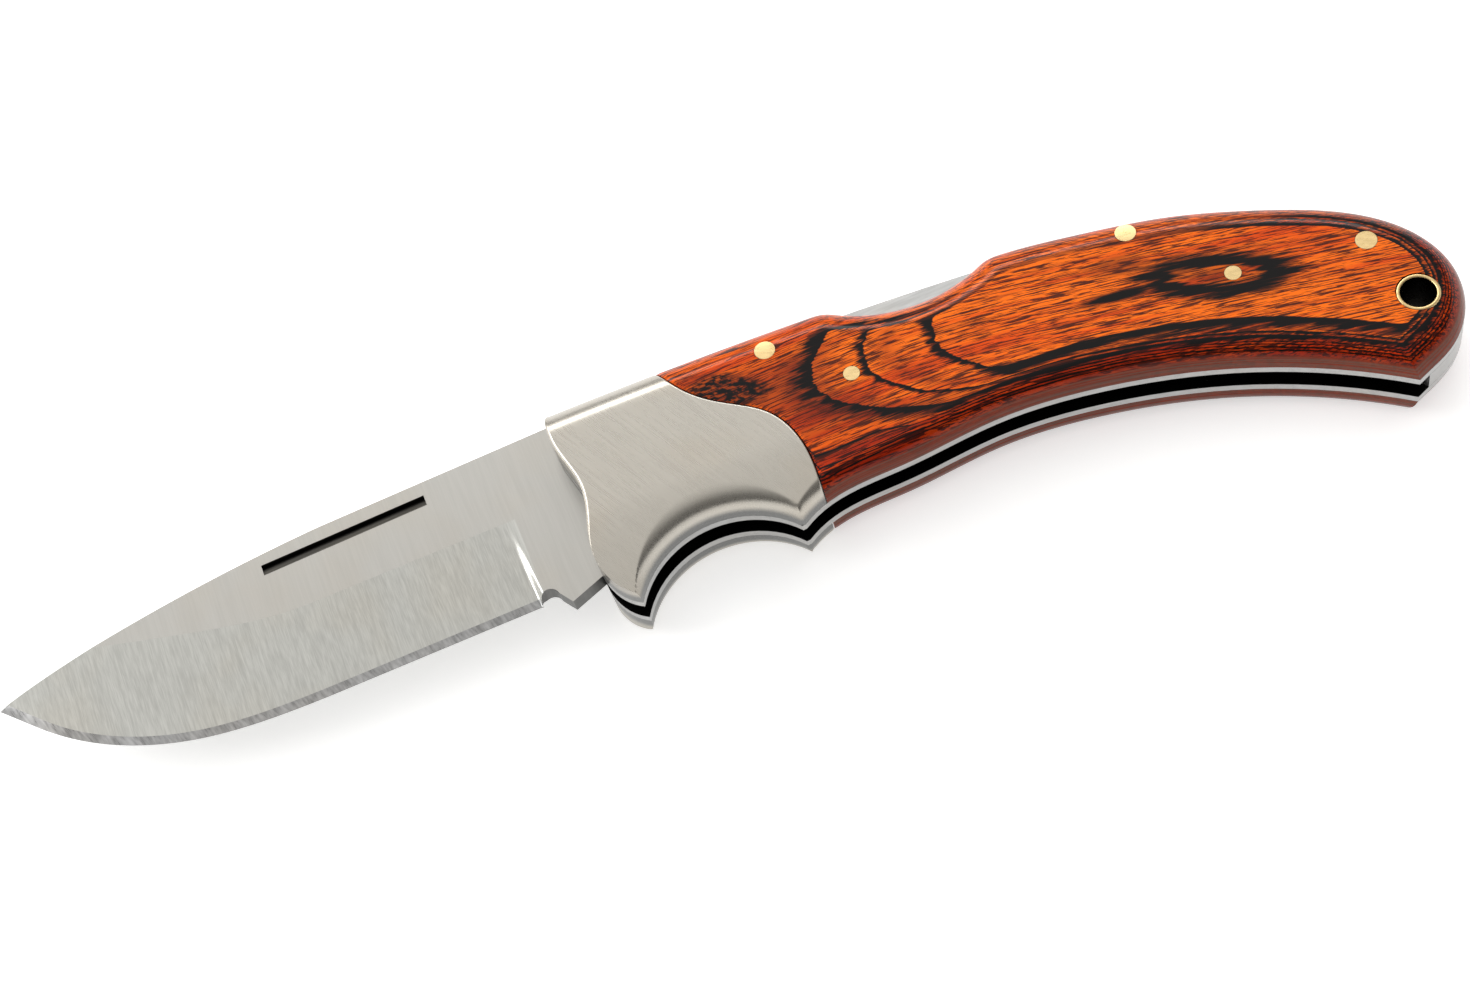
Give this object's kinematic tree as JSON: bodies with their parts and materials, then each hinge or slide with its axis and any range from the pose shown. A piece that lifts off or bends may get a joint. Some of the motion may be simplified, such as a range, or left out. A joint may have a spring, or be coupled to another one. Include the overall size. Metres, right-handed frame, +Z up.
{
  "type": "folding pocket knife",
  "caption": "Lock-back folding knife: drop-point steel blade with a nail slot, steel bolsters with a finger groove, laminated wood scales, brass pins and a lined lanyard hole.",
  "frame": {"origin": "on the blade's pivot axis, in the plane that the knife's right side rests on", "axes": "+X along the handle towards its butt, with the open blade along -X; +Y towards the spine; +Z up, out of the left side"},
  "size_m": [0.1966, 0.0475, 0.014],
  "materials": {
    "blade_steel": "satin, ground",
    "bolster_steel": "satin, brushed",
    "liner_steel": "bright",
    "lock_steel": "ground",
    "spring_steel": "tempered",
    "laminated_wood": "polished, dyed laminate",
    "brass": "polished",
    "bronze": "plain"
  },
  "bodies": {
    "handle": {"blade_pivot_pin": "bolster_steel", "lock_bar_pin": "brass", "lock_spring": "spring_steel", "back_spacer": "lock_steel", "spacer_pin_front": "brass", "spacer_pin_rear": "brass", "lanyard_tube": "brass", "liner_left": "liner_steel", "liner_right": "liner_steel", "bolster_left": "bolster_steel", "bolster_right": "bolster_steel", "scale_left": "laminated_wood", "scale_right": "laminated_wood", "pivot_washer_left": "bronze", "pivot_washer_right": "bronze", "bolster_rivets_left": "liner_steel", "bolster_rivets_right": "liner_steel", "scale_rivet_front_left": "brass", "scale_rivet_front_right": "brass", "scale_rivet_rear_left": "brass", "scale_rivet_rear_right": "brass"},
    "blade": {"blade": "blade_steel"},
    "lock_bar": {"lock_bar": "lock_steel"}
  },
  "joints": [
    {"name": "blade_fold", "type": "hinge", "parent": "handle", "child": "blade", "pos_m": [0, 0, 0.007], "axis": [0, 0, 1], "range_deg": [0, 176]},
    {"name": "lock_release", "type": "hinge", "parent": "handle", "child": "lock_bar", "pos_m": [0.02079, 0.01044, 0.007], "axis": [0, 0, -1], "range_deg": [0, 4.8], "stiffness_Nm_per_rad": 0.5, "springref_deg": -5.73, "deforming": ["lock_spring"]}
  ]
}
